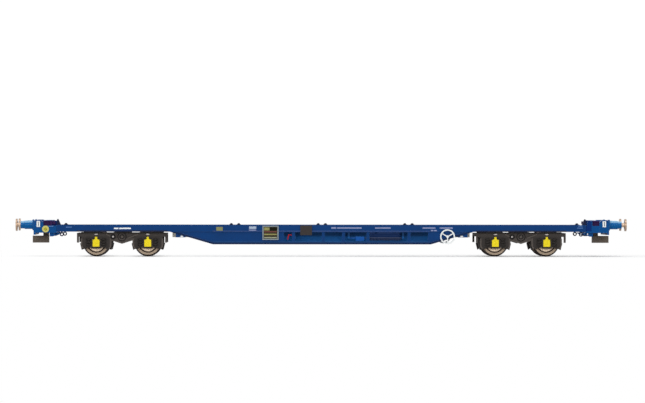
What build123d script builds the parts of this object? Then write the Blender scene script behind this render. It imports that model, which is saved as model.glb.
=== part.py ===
"""Model railway container flat wagon, 4 mm to the foot, in millimetres.

+X runs along the wagon, +Z is up, and z = 0 is the plane on which the wheel flanges stand.
The side at -Y is modelled and the side at +Y is the same turned half a turn about Z, as on the real wagon.
End a is at -X and end b at +X.
"""

import os

from build123d import *

# Wheelsets
tread_radius = 5.7
flange_height = 0.6
flange_width = 0.75
wheel_width = 2.8
back_to_back = 14.5
tyre_depth = 1.1
dish_depth = 0.5
dish_step = 0.25
wheel_facets = 32
axle_facets = 16
axle_radius = 1.0
bearing_depth = 0.9
bearing_clearance = 0.1
tread_taper = 0.15

# Bogies
wheelbase = 23.6
bogie_overhang = 8.8
side_inner = 12.1
side_thickness = 1.4
rim_reach = 0.7
rim_depth = 0.5
dip_near = 3.8
dip_far = 8.6
dip_depth = 0.4
beam_setback = 2.0
beam_depth = 3.94
belly_drop = 1.5
belly_half_width = 4.75
pedestal_half = 7.0
foot_outer = 6.1
foot_inner = 4.5
foot_drop = 2.8
window_drop = 2.2
box_width = 4.4
box_top_rise = 2.0
spring_offset = 3.45
spring_radius = 1.15
spring_turns = 3
spring_sides = 8
spring_height = 3.7
seat_depth = 0.6
seat_half_width = 4.8
arm_depth = 1.7
arm_drop = 0.5
hook_width = 0.9
hook_drop = 4.4
boss_radius = 1.7
boss_drop = 2.2
boss_sides = 12
boss_wall = 0.55
boss_reach = 0.5
cover_width = 3.1
cover_height = 3.2
cover_drop = 1.75
cover_thickness = 0.5
neck_width = 1.0
neck_height = 1.3
bogie_bolster_depth = 2.5
hanger_room = 0.55
waist_depth = 0.8
waist_length = 2.4
transom_width = 1.4
transom_depth = 1.2
block_gap = 0.35
block_thickness = 0.9
block_width = 2.2
block_low_angle = -26.0
block_high_angle = -2.0
hanger_width = 0.5
arm_height = 0.7

# Underframe
wheel_clearance = 0.35
floor_depth = 1.55
side_clearance = 0.12
channel_depth = 3.1
channel_wall = 0.8
frame_half_width = 16.4
flange_reach = 3.0
flange_thickness = 0.7
lip_reach = 2.0
lip_thickness = 0.5
deck_overhang = 29.6
bogie_gap = 21.9
belly_run = 19.7
belly_depth = 8.85
web_thickness = 0.5
belly_flange_depth = 1.0
belly_flange_width = 1.8
ledge_height = 0.5
ledge_proud = 0.25
window_margin = 0.25
window_post = 1.4
window_end_post = 1.2
jack_setback = 4.9
jack_width = 4.4
jack_depth = 0.5
bolster_half = 3.0
deck_drop = 0.4
centre_plate_half = 3.4
ride_gap = 0.1
pivot_radius = 1.6
pivot_clearance = 0.06
pivot_overrun = 0.2
screw_radius = 2.4
screw_depth = 0.8
sill_half_width = 3.2
sill_wall = 0.8
sill_setback = 5.5
sill_depth = 4.8
keel_lift = 0.75
bearer_web = 0.8
bearer_flange = 2.2
bearer_flange_depth = 0.5
bearer_lift = 1.65
bearer_count = 6
bearer_setback = 7.5
tenon_gap = 0.05
brace_depth = 0.6
brace_width = 2.4

# Ends
length_over_buffers = 280.0
headstock_length = 4.5
end_bay = 6.2
end_inset = 0.6
headstock_drop = 0.5
headstock_rise = 1.0
headstock_wall = 0.8
valance_depth = 0.9
pad_width = 6.4
pad_rise = 2.3
pad_chamfer = 0.7
buffer_spacing = 22.66
buffer_rise = 0.0
base_size = 5.0
base_thickness = 0.5
housing_radius = 1.95
housing_length = 4.3
sleeve_radius = 1.7
sleeve_length = 1.8
ram_radius = 1.0
ram_length = 1.4
head_radius = 2.8
head_thickness = 0.8
head_facets = 32
ram_facets = 16
hook_plate_size = 3.0
hook_plate_thickness = 0.3
hook_reach = 2.4
hook_thickness = 0.8
bulkhead_thickness = 0.6
cheek_thickness = 1.4
cheek_rise = 0.35
pan_thickness = 0.6
platform_rise = 2.0
platform_setback = 2.4
platform_thickness = 0.45
locker_length = 2.4
locker_setback = 0.6
locker_slope = 0.7
rib_thickness = 0.8
gusset_inset = 1.4
gusset_thickness = 1.0
gusset_drop = 1.7
gusset_setback = 2.8
gusset_foot = 1.4
gusset_tail = 1.6
gusset_tip = 0.25
gusset_hole_length = 1.2
gusset_hole_height = 0.5
pocket_reach = 1.1
pocket_length = 7.4
pocket_width = 4.8
pocket_height = 3.2
pocket_drop = 1.45
socket_width = 3.2
socket_height = 1.75
socket_depth = 6.2
stem_length = 2.6
stem_width = 3.0

# Fittings
guide_length = 1.8
guide_rise = 2.7
guide_top = 0.6
guide_width = 2.6
spigot_inset = 1.575
spigot_size = 1.0
spigot_top_size = 0.6
spigot_setback = 4.1
spigot_height = 0.75
ring_radius = 0.97
ring_bore = 0.45
ring_thickness = 0.5
ring_inset = 1.2
ring_sides = 10
ring_setback = 2.2
ring_drop = 1.2
lug_width = 0.7
lug_depth = 0.4
handwheel_setback = 12.0
handwheel_drop = 5.3
handwheel_radius = 3.1
handwheel_rim = 0.3
handwheel_standoff = 0.6
handwheel_hub = 0.65
hub_sides = 8
rim_sides = 28
spoke_width = 0.5
placard_centre = -7.2
placard_width = 5.3
placard_height = 4.4
placard_drop = 0.2
placard_thickness = 0.3
disc_setback = 1.0
disc_drop = 1.9
disc_radius = 1.55
disc_thickness = 0.5
disc_facets = 24

# Brake gear
reservoir_length = 14.0
reservoir_radius = 2.1
reservoir_side = 8.3
strap_offset = 4.2
vessel_gap = 0.5
strap_width = 0.6
strap_plate_depth = 0.6
cylinder_length = 9.0
cylinder_radius = 1.8
cylinder_side = 7.6
piston_size = 0.9
piston_length = 3.0
valve_length = 4.2
valve_width = 2.7
valve_height = 2.0
valve_inset = 0.7
valve_gap = 2.6
valve_lift = 0.9
bracket_depth = 0.5
pipe_radius = 0.28
pipe_gap = 0.5
pipe_sides = 6
pull_rod_width = 0.7
pull_rod_depth = 0.5
pull_rod_setback = 1.0
rod_block_length = 2.4
rod_block_width = 1.6
rod_block_rise = 1.6
lever_length = 2.6
lever_drop = 2.4
lever_size = 0.5

# Windows in the girder web, by their widths from the +X end
window_widths = [8.0, 17.4, 9.8, 7.8, 12.3, 3.6]
# Container spigots between the ends of each girder, by their distance from the wagon's middle
spigot_places = [1.65, 38.0, 41.4]

# Heights worked out from the sizes above
axle_z = tread_radius + flange_height
floor_z = axle_z + tread_radius + flange_height + wheel_clearance
deck_z = floor_z + floor_depth
channel_z = deck_z - channel_depth
bogie_top_z = channel_z - side_clearance
belly_z = deck_z - belly_depth
frame_top_z = deck_z - deck_drop
bolster_pad_z = bogie_top_z + ride_gap
beam_bottom_z = bogie_top_z - beam_depth
bogie_bolster_z = bogie_top_z - bogie_bolster_depth
pivot_end_z = bogie_bolster_z - pivot_overrun
end_floor_z = channel_z - headstock_drop
buffer_z = deck_z + buffer_rise
platform_z = deck_z + platform_rise

# Widths worked out from the sizes above
half_gauge = back_to_back / 2
side_outer = side_inner + side_thickness
box_outer = side_outer + rim_reach
web_inner = frame_half_width - channel_wall
flange_inner = frame_half_width - flange_reach
belly_flange_inner = frame_half_width - belly_flange_width
headstock_half_width = frame_half_width - end_inset
half_buffers = buffer_spacing / 2
behind_web = web_inner - valve_inset

# Places along the wagon, from the buffer faces in to the middle
buffer_length = housing_length + sleeve_length + ram_length + head_thickness
headstock_outer = length_over_buffers / 2 - buffer_length
headstock_inner = headstock_outer - headstock_length
girder_half_length = headstock_inner - end_bay
pivot_x = girder_half_length - deck_overhang
belly_top_half = pivot_x - bogie_gap
belly_flat_half = belly_top_half - belly_run
belly_slope = (channel_z - belly_z) / belly_run
jack_centre = belly_top_half - jack_setback
handwheel_x = belly_top_half - handwheel_setback
sill_deep_half = belly_top_half - sill_setback
bearer_end = belly_top_half - bearer_setback
bearer_pitch = 2 * bearer_end / (bearer_count - 1)
bearer_places = [index * bearer_pitch - bearer_end for index in range(bearer_count)]
bearer_z = belly_z + belly_flange_depth + bearer_lift
sill_bottom_z = frame_top_z - sill_depth
keel_z = belly_z + keel_lift
keel_end = belly_flat_half + (sill_bottom_z - keel_z) / belly_slope
reservoir_centre = bearer_places[4] - bearer_web / 2 - vessel_gap - reservoir_length / 2
cylinder_centre = bearer_places[1] + bearer_web / 2 + vessel_gap + cylinder_length / 2
pipe_side = behind_web - valve_width - pipe_gap - pipe_radius

# Places along a bogie, from its pivot
axle_offset = wheelbase / 2
bogie_half_length = axle_offset + bogie_overhang
beam_half_length = bogie_half_length - beam_setback
bogie_bolster_half = axle_offset - axle_z - block_gap - block_thickness - hanger_room

os.makedirs("parts", exist_ok=True)


def save(piece, node):
    """Labels a finished piece and writes its STEP file."""
    piece.label = node
    export_step(piece, f"parts/{node}.step")


def side_plane(x, y):
    """A plane that stands along the wagon, seen from -Y, with its own x along +X and its y up."""
    return Plane(origin=(x, y, 0), x_dir=(1, 0, 0), z_dir=(0, -1, 0))


def half_turn(piece, x=0.0):
    """The same piece turned half a turn about an upright axis."""
    return piece.rotate(Axis((x, 0, 0), (0, 0, 1)), 180)


def slope_z(x):
    """Height of the girder's underside on its sloping stretch."""
    return belly_z + (abs(x) - belly_flat_half) * belly_slope


def box_between(low, high, mode=Mode.ADD):
    """An upright block between two opposite corners, in the part that is open."""
    size = [b - a for a, b in zip(low, high)]
    middle = [(a + b) / 2 for a, b in zip(low, high)]
    with Locations(tuple(middle)):
        Box(*size, mode=mode)


# Wheelsets: an axle with plain journals and two dished wheels on it
def build_axle(x):
    reach = side_inner + bearing_depth - bearing_clearance
    with BuildPart() as axle:
        with BuildSketch(side_plane(x, 0)):
            with Locations((0, axle_z)):
                RegularPolygon(axle_radius, axle_facets)
        extrude(amount=reach, both=True)
    return axle.part


def build_wheels(x):
    """Two dished wheels, turned with flats fine enough to look round."""
    outer = half_gauge + wheel_width
    face_radius = tread_radius - tread_taper
    dish_radius = face_radius - tyre_depth
    flange = (half_gauge, tread_radius + flange_height)
    root = (half_gauge + flange_width, tread_radius)
    face = (outer, face_radius)
    with BuildPart() as wheels:
        for band in ((flange, root), (root, face)):
            for place, radius in band:
                with BuildSketch(side_plane(x, -place)):
                    with Locations((0, axle_z)):
                        RegularPolygon(radius, wheel_facets)
            loft(ruled=True)
        for place, radius in ((outer, dish_radius), (outer - dish_depth, dish_radius - dish_step)):
            with BuildSketch(side_plane(x, -place)):
                with Locations((0, axle_z)):
                    RegularPolygon(radius, wheel_facets)
        loft(ruled=True, mode=Mode.SUBTRACT)
        with BuildSketch(side_plane(x, 0)):
            with Locations((0, axle_z)):
                RegularPolygon(axle_radius, axle_facets)
        extrude(amount=outer, mode=Mode.SUBTRACT)
        mirror(about=Plane.XZ)
    return wheels.part


# Bogies: two cast side frames, a bolster, end transoms, axlebox covers and brake blocks
def build_bogie_side(x):
    """One side frame, on the -Y side of the bogie whose pivot is at x."""
    with BuildPart() as side:
        with BuildSketch(side_plane(x, -side_inner)):
            with Locations((0, bogie_top_z - beam_depth / 2)):
                Rectangle(2 * beam_half_length, beam_depth)
            arm_top = bogie_top_z - arm_drop
            with Locations((0, arm_top - arm_depth / 2)):
                Rectangle(2 * bogie_half_length, arm_depth)
            for end in (-1, 1):
                with Locations((end * (bogie_half_length - hook_width / 2), arm_top - hook_drop / 2)):
                    Rectangle(hook_width, hook_drop)
            with BuildLine():
                Polyline(
                    (-belly_half_width, beam_bottom_z),
                    (0, beam_bottom_z - belly_drop),
                    (belly_half_width, beam_bottom_z),
                    close=True,
                )
            make_face()
            for u in (-axle_offset, axle_offset):
                with BuildLine():
                    Polyline(
                        (u - pedestal_half, beam_bottom_z),
                        (u - pedestal_half, axle_z - foot_drop / 3),
                        (u - (pedestal_half + foot_outer) / 2 - 0.15, axle_z - foot_drop * 0.75),
                        (u - foot_outer, axle_z - foot_drop),
                        (u - foot_inner, axle_z - foot_drop),
                        (u - foot_inner + 0.3, axle_z - window_drop),
                        (u + foot_inner - 0.3, axle_z - window_drop),
                        (u + foot_inner, axle_z - foot_drop),
                        (u + foot_outer, axle_z - foot_drop),
                        (u + (pedestal_half + foot_outer) / 2 + 0.15, axle_z - foot_drop * 0.75),
                        (u + pedestal_half, axle_z - foot_drop / 3),
                        (u + pedestal_half, beam_bottom_z),
                        close=True,
                    )
                make_face()
        extrude(amount=side_thickness)
        with BuildSketch(side_plane(x, -side_outer)):
            with Locations((0, bogie_top_z - rim_depth / 2)):
                Rectangle(2 * beam_half_length, rim_depth)
            for u in (-axle_offset, axle_offset):
                seat_z = axle_z - window_drop
                with Locations((u, (seat_z + axle_z + box_top_rise) / 2)):
                    Rectangle(box_width, box_top_rise + window_drop)
                with Locations((u, seat_z + seat_depth / 2)):
                    Rectangle(2 * seat_half_width, seat_depth)
        extrude(amount=rim_reach)
        # Coil springs either side of each axlebox, standing on its ears
        for u in (-axle_offset, axle_offset):
            for spring_x in (u - spring_offset, u + spring_offset):
                spring_z = axle_z - window_drop + seat_depth
                pitch = spring_height / spring_turns
                for turn in range(spring_turns):
                    turn_z = spring_z + (turn + 0.25) * pitch
                    with BuildSketch(Plane((x + spring_x, -side_outer, turn_z))):
                        RegularPolygon(spring_radius, spring_sides)
                    extrude(amount=pitch / 2)
        # Round boss in the middle of the beam
        with BuildSketch(side_plane(x, -side_outer)):
            with Locations((0, bogie_top_z - boss_drop)):
                RegularPolygon(boss_radius, boss_sides)
                RegularPolygon(boss_radius - boss_wall, boss_sides, mode=Mode.SUBTRACT)
        extrude(amount=boss_reach)
        # Dips in the top either side of the middle
        for end in (-1, 1):
            low_u, high_u = sorted((end * dip_near, end * dip_far))
            box_between(
                (x + low_u, -box_outer, bogie_top_z - dip_depth),
                (x + high_u, -side_inner, bogie_top_z),
                mode=Mode.SUBTRACT,
            )
        # Pockets in which the axle's journals run
        bearing_size = 2 * (axle_radius + bearing_clearance)
        with BuildSketch(side_plane(x, -side_inner)):
            for u in (-axle_offset, axle_offset):
                with Locations((u, axle_z)):
                    Rectangle(bearing_size, bearing_size)
        extrude(amount=bearing_depth, mode=Mode.SUBTRACT)
    return side.part


def build_bogie_bolster(x):
    with BuildPart() as bolster:
        with BuildSketch(Plane((x, 0, bogie_bolster_z))):
            Rectangle(2 * bogie_bolster_half, 2 * side_inner)
            Circle(pivot_radius + pivot_clearance, mode=Mode.SUBTRACT)
        extrude(amount=bogie_bolster_depth)
        # Waists either side of the pivot
        with BuildSketch(Plane((x, 0, bogie_bolster_z))):
            for end in (-1, 1):
                edge = end * bogie_bolster_half
                floor = end * (bogie_bolster_half - waist_depth)
                for side in (-1, 1):
                    near = side * centre_plate_half
                    far = side * (centre_plate_half + waist_length)
                    with BuildLine():
                        Polyline(
                            (edge, near),
                            (floor, near + side * waist_depth),
                            (floor, far - side * waist_depth),
                            (edge, far),
                            close=True,
                        )
                    make_face()
        extrude(amount=bogie_bolster_depth, mode=Mode.SUBTRACT)
    return bolster.part


def build_transoms(x):
    top = bogie_top_z - arm_drop
    outer = bogie_half_length
    with BuildPart() as transoms:
        for end in (-1, 1):
            inner = outer - transom_width
            low_u, high_u = sorted((end * inner, end * outer))
            box_between((x + low_u, -side_inner, top - transom_depth), (x + high_u, side_inner, top))
    return transoms.part


def build_covers(x):
    """Axlebox end covers with a narrow neck above, both sides of the bogie."""
    with BuildPart() as covers:
        with BuildSketch(side_plane(x, -box_outer)):
            for u in (-axle_offset, axle_offset):
                low = axle_z - cover_drop
                with Locations((u, low + cover_height / 2)):
                    Rectangle(cover_width, cover_height)
                with BuildLine():
                    top = low + cover_height
                    Polyline(
                        (u - neck_width, top),
                        (u - neck_width / 2, top + neck_height / 3),
                        (u - neck_width / 2, top + neck_height),
                        (u + neck_width / 2, top + neck_height),
                        (u + neck_width / 2, top + neck_height / 3),
                        (u + neck_width, top),
                        close=True,
                    )
                make_face()
        extrude(amount=cover_thickness)
        mirror(about=Plane.XZ)
    return covers.part


def build_brake_blocks(x):
    """Curved blocks on both sides of each wheel, on hangers from the bolster and the transoms."""
    inner_radius = axle_z + block_gap
    middle_y = half_gauge + wheel_width / 2
    transom_z = bogie_top_z - arm_drop - transom_depth
    with BuildPart() as blocks:
        with BuildSketch(side_plane(x, -middle_y - block_width / 2)):
            for end in (-1, 1):
                for towards in (-1, 1):
                    u = end * axle_offset
                    start = block_low_angle if towards > 0 else 180 - block_high_angle
                    sweep = block_high_angle - block_low_angle
                    outer_radius = inner_radius + block_thickness
                    with BuildLine():
                        inside = CenterArc((u, axle_z), inner_radius, start, sweep)
                        grow = outer_radius / inner_radius
                        first = inside @ 0
                        last = inside @ 1
                        Polyline(
                            first,
                            (u + (first.X - u) * grow, axle_z + (first.Y - axle_z) * grow),
                            (u + (last.X - u) * grow, axle_z + (last.Y - axle_z) * grow),
                            last,
                        )
                    make_face()
                    hanger_u = u + towards * (inner_radius + hanger_width / 2)
                    hanger_low = (first.Y + last.Y) / 2
                    with Locations((hanger_u, (hanger_low + transom_z) / 2)):
                        Rectangle(hanger_width, transom_z - hanger_low)
                    face_u = end * (bogie_half_length - transom_width)
                    arm_z = transom_z + arm_height / 2
                    if towards != end:
                        face_u = end * bogie_bolster_half
                        arm_z = transom_z - arm_height / 2
                    far_u = hanger_u - towards * hanger_width / 2
                    with Locations(((face_u + far_u) / 2, arm_z)):
                        Rectangle(abs(far_u - face_u), arm_height)
        extrude(amount=-block_width)
        mirror(about=Plane.XZ)
    return blocks.part


# Underframe: fish-bellied side girders, sills, bolsters, cross bearers and braces
def build_girder():
    """The girder on the -Y side: a channel along the whole deck with a deep web in the middle."""
    run = belly_flange_depth / belly_slope
    with BuildPart() as girder:
        with BuildSketch(side_plane(0, -web_inner)):
            with Locations((0, deck_z - channel_depth / 2)):
                Rectangle(2 * girder_half_length, channel_depth)
        extrude(amount=channel_wall)
        box_between(
            (-girder_half_length, -frame_half_width, deck_z - flange_thickness),
            (girder_half_length, -flange_inner, deck_z),
        )
        for end in (-1, 1):
            low_x, high_x = sorted((end * (belly_top_half - run), end * girder_half_length))
            box_between(
                (low_x, -frame_half_width, channel_z),
                (high_x, -frame_half_width + lip_reach, channel_z + lip_thickness),
            )
        # Deep web with its row of windows
        with BuildSketch(side_plane(0, -web_inner)):
            with BuildLine():
                Polyline(
                    (-belly_top_half, channel_z),
                    (-belly_flat_half, belly_z),
                    (belly_flat_half, belly_z),
                    (belly_top_half, channel_z),
                    close=True,
                )
            make_face()
            low = belly_z + belly_flange_depth + window_margin
            high = channel_z - window_margin
            edge = belly_flat_half - window_end_post
            for width in window_widths:
                if edge - width < window_end_post - belly_flat_half:
                    break
                with Locations((edge - width / 2, (low + high) / 2)):
                    Rectangle(width, high - low, mode=Mode.SUBTRACT)
                edge -= width + window_post
        extrude(amount=web_thickness)
        # Bottom flange, which follows the slopes
        with BuildSketch(side_plane(0, -belly_flange_inner)):
            with BuildLine():
                Polyline(
                    (-belly_top_half, channel_z),
                    (-belly_flat_half, belly_z),
                    (belly_flat_half, belly_z),
                    (belly_top_half, channel_z),
                    close=True,
                )
            make_face()
            with BuildLine():
                Polyline(
                    (run - belly_top_half, channel_z),
                    (-belly_flat_half, belly_z + belly_flange_depth),
                    (belly_flat_half, belly_z + belly_flange_depth),
                    (belly_top_half - run, channel_z),
                    close=True,
                )
            make_face(mode=Mode.SUBTRACT)
        extrude(amount=frame_half_width - belly_flange_inner)
        # Ledge along the foot of the channel
        box_between(
            (-belly_flat_half, -frame_half_width - ledge_proud, channel_z),
            (belly_flat_half, -frame_half_width, channel_z + ledge_height),
        )
        # Jacking pads under the slopes
        for end in (-1, 1):
            outer_x = end * (jack_centre + jack_width / 2)
            inner_x = end * (jack_centre - jack_width / 2)
            with BuildSketch(side_plane(0, -belly_flange_inner)):
                with BuildLine():
                    Polyline(
                        (outer_x, slope_z(inner_x) - jack_depth),
                        (inner_x, slope_z(inner_x) - jack_depth),
                        (inner_x, slope_z(inner_x)),
                        (outer_x, slope_z(outer_x)),
                        close=True,
                    )
                make_face()
            extrude(amount=web_inner + web_thickness - belly_flange_inner)
    return girder.part


def build_bolster(x):
    """Cross beam over a bogie, with its centre plate and the pivot that goes down through the bogie."""
    bottom = bolster_pad_z + lip_thickness
    with BuildPart() as bolster:
        bolster_top = (x + bolster_half, flange_inner, frame_top_z)
        box_between((x - bolster_half, -flange_inner, bottom), bolster_top)
        box_between(
            (x - bolster_half, -web_inner, channel_z + lip_thickness + tenon_gap),
            (x + bolster_half, web_inner, deck_z - flange_thickness - tenon_gap),
        )
        box_between(
            (x - bolster_half, -centre_plate_half, bolster_pad_z),
            (x + bolster_half, centre_plate_half, bottom),
        )
        with BuildSketch(Plane((x, 0, bottom))):
            Circle(pivot_radius)
        extrude(amount=pivot_end_z - bottom)
    return bolster.part


def build_pivot_screws():
    with BuildPart() as screws:
        for x in (-pivot_x, pivot_x):
            with BuildSketch(Plane((x, 0, pivot_end_z))):
                RegularPolygon(screw_radius, 6)
            extrude(amount=-screw_depth)
    return screws.part


def build_centre_sill():
    """Inverted trough between the bolsters, with a keel that follows the girders' belly."""
    reach = pivot_x - bolster_half
    with BuildPart() as sill:
        box_between((-reach, -sill_half_width, floor_z), (reach, sill_half_width, frame_top_z))
        with BuildSketch(side_plane(0, sill_wall - sill_half_width)):
            with BuildLine():
                Polyline(
                    (-sill_deep_half - sill_depth / 2, floor_z),
                    (-sill_deep_half, sill_bottom_z),
                    (-keel_end, sill_bottom_z),
                    (-belly_flat_half, keel_z),
                    (belly_flat_half, keel_z),
                    (keel_end, sill_bottom_z),
                    (sill_deep_half, sill_bottom_z),
                    (sill_deep_half + sill_depth / 2, floor_z),
                    close=True,
                )
            make_face()
        extrude(amount=sill_wall)
        mirror(about=Plane.XZ)
    return sill.part


def build_end_sills():
    """Shallow troughs from each bolster to the end bulkhead, open below."""
    with BuildPart() as sills:
        for end in (-1, 1):
            low_x, high_x = sorted((end * (pivot_x + bolster_half), end * girder_half_length))
            box_between((low_x, -sill_half_width, floor_z), (high_x, sill_half_width, frame_top_z))
            box_between(
                (low_x + sill_wall, sill_wall - sill_half_width, floor_z),
                (high_x - sill_wall, sill_half_width - sill_wall, frame_top_z - sill_wall / 2),
                mode=Mode.SUBTRACT,
            )
    return sills.part


def build_cross_bearers():
    """Ribs from the centre sill out to each girder, in pairs."""
    with BuildPart() as bearers:
        for x in bearer_places:
            with BuildSketch(Plane(origin=(x - bearer_web / 2, 0, 0), x_dir=(0, 1, 0), z_dir=(1, 0, 0))):
                low = bearer_z
                if abs(x) > belly_flat_half:
                    low = slope_z(abs(x) + bearer_web / 2) + belly_flange_depth
                with BuildLine():
                    Polyline(
                        (sill_half_width, low),
                        (web_inner, low),
                        (web_inner, deck_z - flange_thickness - tenon_gap),
                        (flange_inner, deck_z - flange_thickness - tenon_gap),
                        (flange_inner, frame_top_z),
                        (sill_half_width, frame_top_z),
                        close=True,
                    )
                make_face()
            extrude(amount=bearer_web)
            box_between(
                (x - bearer_flange / 2, sill_half_width, frame_top_z - bearer_flange_depth),
                (x + bearer_flange / 2, flange_inner, frame_top_z),
            )
        mirror(about=Plane.XZ)
    return bearers.part


def build_braces():
    """Flat diagonal bars in the floor over each bogie, either side of the bolster."""
    with BuildPart() as braces:
        for end in (-1, 1):
            for start, finish in (
                (pivot_x + bolster_half, girder_half_length),
                (pivot_x - bolster_half, sill_deep_half + sill_depth),
            ):
                with BuildSketch(Plane.XY.offset(floor_z)):
                    with BuildLine():
                        Polyline(
                            (end * start, flange_inner),
                            (end * start, flange_inner - brace_width),
                            (end * finish, sill_half_width),
                            (end * finish, sill_half_width + brace_width),
                            close=True,
                        )
                    make_face()
                extrude(amount=brace_depth)
        mirror(about=Plane.XZ)
    return braces.part


# Ends: headstock, buffers, end frame and coupling pocket. End a is built, and end b is it turned round.
def build_headstock():
    with BuildPart() as headstock:
        top = deck_z + headstock_rise
        box_between(
            (-headstock_outer, -headstock_half_width, end_floor_z),
            (-headstock_inner, headstock_half_width, top),
        )
        for y in (-half_buffers, half_buffers):
            with BuildSketch(side_plane(0, y - pad_width / 2)):
                pad_top = deck_z + pad_rise
                with BuildLine():
                    Polyline(
                        (-headstock_outer, buffer_z),
                        (-headstock_outer, pad_top - 2 * pad_chamfer),
                        (-headstock_outer + pad_chamfer, pad_top),
                        (-headstock_inner - 2 * pad_chamfer, pad_top),
                        (-headstock_inner, pad_top - 2 * pad_chamfer),
                        (-headstock_inner, buffer_z),
                        close=True,
                    )
                make_face()
            extrude(amount=-pad_width)
        # Hollow underside in two bays
        for side in (-1, 1):
            near, far = sorted((side * sill_half_width, side * (headstock_half_width - headstock_wall)))
            box_between(
                (-headstock_outer + headstock_wall, near, end_floor_z),
                (-headstock_inner - headstock_wall, far, top - headstock_wall),
                mode=Mode.SUBTRACT,
            )
        # Valance below the front face
        box_between(
            (-headstock_outer, -headstock_half_width, end_floor_z - valance_depth),
            (-headstock_outer + headstock_wall, headstock_half_width, end_floor_z),
        )
    return headstock.part


def build_buffer_housings():
    with BuildPart() as housings:
        for y in (-half_buffers, half_buffers):
            face = Plane(origin=(-headstock_outer, y, buffer_z), x_dir=(0, 1, 0), z_dir=(-1, 0, 0))
            with BuildSketch(face):
                Rectangle(base_size, base_size)
            extrude(amount=base_thickness)
            with BuildSketch(face):
                Circle(housing_radius)
            extrude(amount=housing_length)
            with BuildSketch(face.offset(housing_length)):
                Circle(sleeve_radius)
            extrude(amount=sleeve_length)
    return housings.part


def build_buffer_heads():
    rear = head_thickness - length_over_buffers / 2
    with BuildPart() as heads:
        for y in (-half_buffers, half_buffers):
            back = Plane(origin=(rear, y, buffer_z), x_dir=(0, 1, 0), z_dir=(-1, 0, 0))
            with BuildSketch(back):
                RegularPolygon(head_radius, head_facets)
            extrude(amount=head_thickness)
            with BuildSketch(back):
                RegularPolygon(ram_radius, ram_facets)
            extrude(amount=-ram_length)
    return heads.part


def build_draw_hook():
    with BuildPart() as hook:
        face_x = -headstock_outer
        half = hook_plate_size / 2
        middle_z = (end_floor_z + deck_z + headstock_rise) / 2
        box_between(
            (face_x - hook_plate_thickness, -half, middle_z - half),
            (face_x, half, middle_z + half),
        )
        root = face_x - hook_plate_thickness
        with BuildSketch(side_plane(0, -hook_thickness / 2)):
            with BuildLine():
                Polyline(
                    (root, middle_z - 0.5),
                    (root - hook_reach * 0.6, middle_z - 0.7),
                    (root - hook_reach, middle_z - 0.2),
                    (root - hook_reach, middle_z + 0.9),
                    (root - hook_reach * 0.75, middle_z + 0.9),
                    (root - hook_reach * 0.6, middle_z + 0.1),
                    (root, middle_z + 0.5),
                    close=True,
                )
            make_face()
        extrude(amount=-hook_thickness)
    return hook.part


def build_end_frame():
    """Raised end between the deck and the headstock: bulkhead, floor pan, cheeks, platform, gussets."""
    inner, outer = -girder_half_length, -headstock_inner
    half = headstock_half_width
    cheek_top = deck_z - cheek_rise
    with BuildPart() as end_frame:
        rear = inner - platform_setback
        box_between((inner - bulkhead_thickness, -half, end_floor_z), (inner, half, cheek_top))
        box_between((outer, -half, end_floor_z), (inner, half, end_floor_z + pan_thickness))
        box_between((rear - bulkhead_thickness, -half, end_floor_z), (rear, half, platform_z))
        box_between((outer, -half, platform_z - platform_thickness), (rear, half, platform_z))
        for side in (-1, 1):
            low_y, high_y = sorted((side * half, side * (half - cheek_thickness)))
            box_between((outer, low_y, end_floor_z), (inner, high_y, cheek_top))
        # Locker with a sloping top at the other side
        with BuildSketch(side_plane(0, half)):
            locker_end = inner - locker_setback
            with BuildLine():
                Polyline(
                    (locker_end, end_floor_z),
                    (locker_end, platform_z - locker_slope),
                    (locker_end - locker_length, platform_z),
                    (locker_end - locker_length, end_floor_z),
                    close=True,
                )
            make_face()
        extrude(amount=cheek_thickness)
        # Upright rib in the middle of the bay
        box_between((outer, -rib_thickness / 2, end_floor_z), (rear, rib_thickness / 2, platform_z))
        # Gussets that slope down from the deck to the coupling pocket
        for side in (-1, 1):
            with BuildSketch(side_plane(0, -side * (half - gusset_inset))):
                foot = outer + gusset_setback
                foot_z = end_floor_z - gusset_drop
                with BuildLine():
                    Polyline(
                        (foot, end_floor_z),
                        (foot, foot_z),
                        (foot + gusset_foot, foot_z),
                        (inner + gusset_tail, end_floor_z - gusset_tip),
                        (inner + gusset_tail, end_floor_z),
                        close=True,
                    )
                make_face()
                with Locations((inner - gusset_hole_length / 2, end_floor_z - gusset_hole_height)):
                    Rectangle(gusset_hole_length, gusset_hole_height, mode=Mode.SUBTRACT)
            extrude(amount=-side * gusset_thickness)
    return end_frame.part


def build_coupling_pocket():
    top = end_floor_z - pocket_drop
    front = -headstock_outer - pocket_reach
    back = front + pocket_length
    middle_z = top - pocket_height / 2
    with BuildPart() as pocket:
        box_between((front, -pocket_width / 2, top - pocket_height), (back, pocket_width / 2, top))
        box_between(
            (back - stem_length, -stem_width / 2, top),
            (back, stem_width / 2, end_floor_z),
        )
        box_between(
            (front, -socket_width / 2, middle_z - socket_height / 2),
            (front + socket_depth, socket_width / 2, middle_z + socket_height / 2),
            mode=Mode.SUBTRACT,
        )
    return pocket.part


# Fittings on the deck and sides
def build_container_guides():
    back = -girder_half_length
    with BuildPart() as guides:
        with BuildSketch(side_plane(0, -frame_half_width + guide_width)):
            with BuildLine():
                Polyline(
                    (back, deck_z),
                    (back, deck_z + guide_rise - guide_top / 2),
                    (back + guide_top / 2, deck_z + guide_rise),
                    (back + guide_top, deck_z + guide_rise),
                    (back + guide_length, deck_z),
                    close=True,
                )
            make_face()
        extrude(amount=guide_width)
        mirror(about=Plane.YZ)
    return guides.part


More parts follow.
